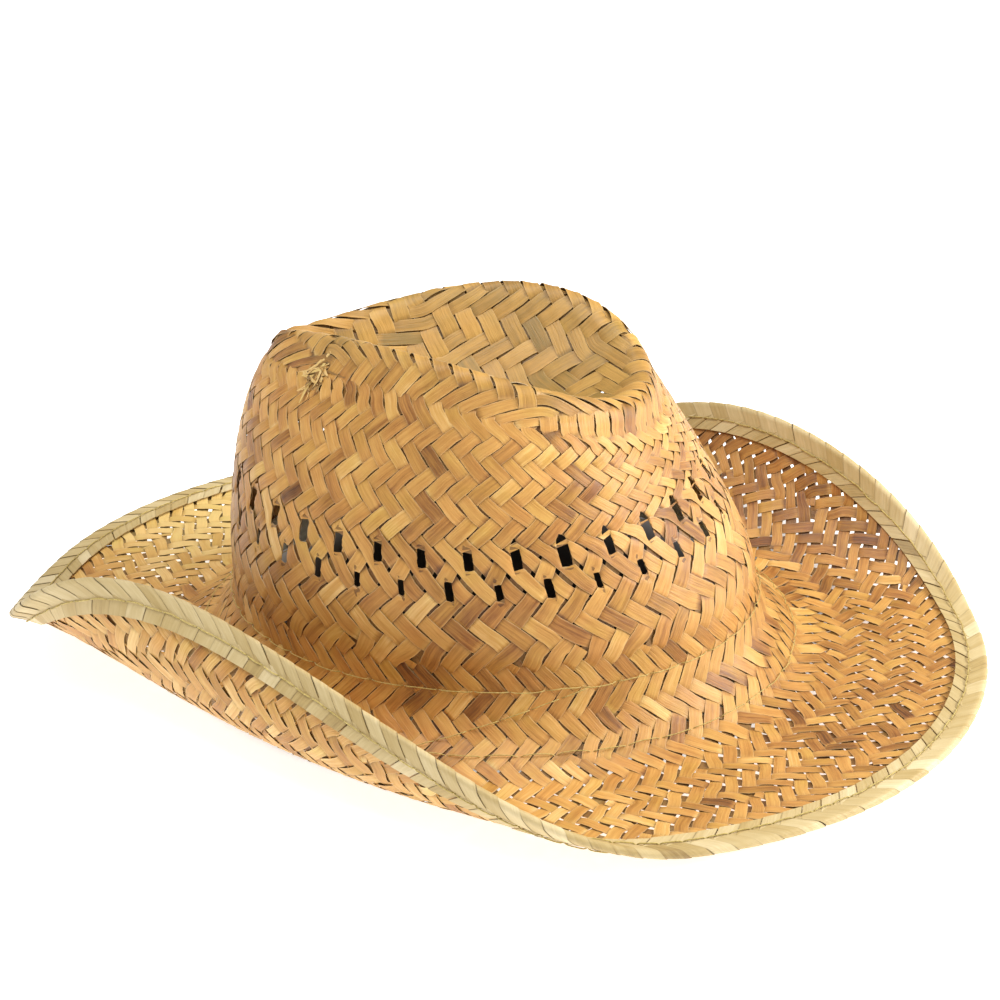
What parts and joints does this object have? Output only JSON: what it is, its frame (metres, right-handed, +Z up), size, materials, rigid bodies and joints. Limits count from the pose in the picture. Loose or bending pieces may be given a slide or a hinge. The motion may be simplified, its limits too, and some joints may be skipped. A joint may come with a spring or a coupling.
{
  "type": "cowboy hat",
  "caption": "Woven straw cowboy hat with a pinched teardrop crown, rolled side brims, vent slits, a folded braid edge and a sewn-in sweatband.",
  "frame": {"origin": "centre of the head opening, in the plane where the brim leaves the crown", "axes": "+Z up to the crown, -Y the wearer's front, X across the head"},
  "size_m": [0.3005, 0.3814, 0.1451],
  "materials": {
    "straw": "dry woven straw, satin",
    "braid": "pale plaited straw, satin",
    "wire": "drawn spring wire",
    "sleeve": "crimped tube",
    "thread": "cotton thread",
    "band": "plain cotton twill"
  },
  "bodies": {
    "root": {"woven_body": "straw", "edge_binding": "braid", "brim_wire": "wire", "wire_sleeve": "sleeve", "binding_stitch": "thread", "sweatband": "band", "sweatband_upper_stitch": "thread", "sweatband_lower_stitch": "thread", "sweatband_seam_stitch": "thread"}
  },
  "joints": []
}
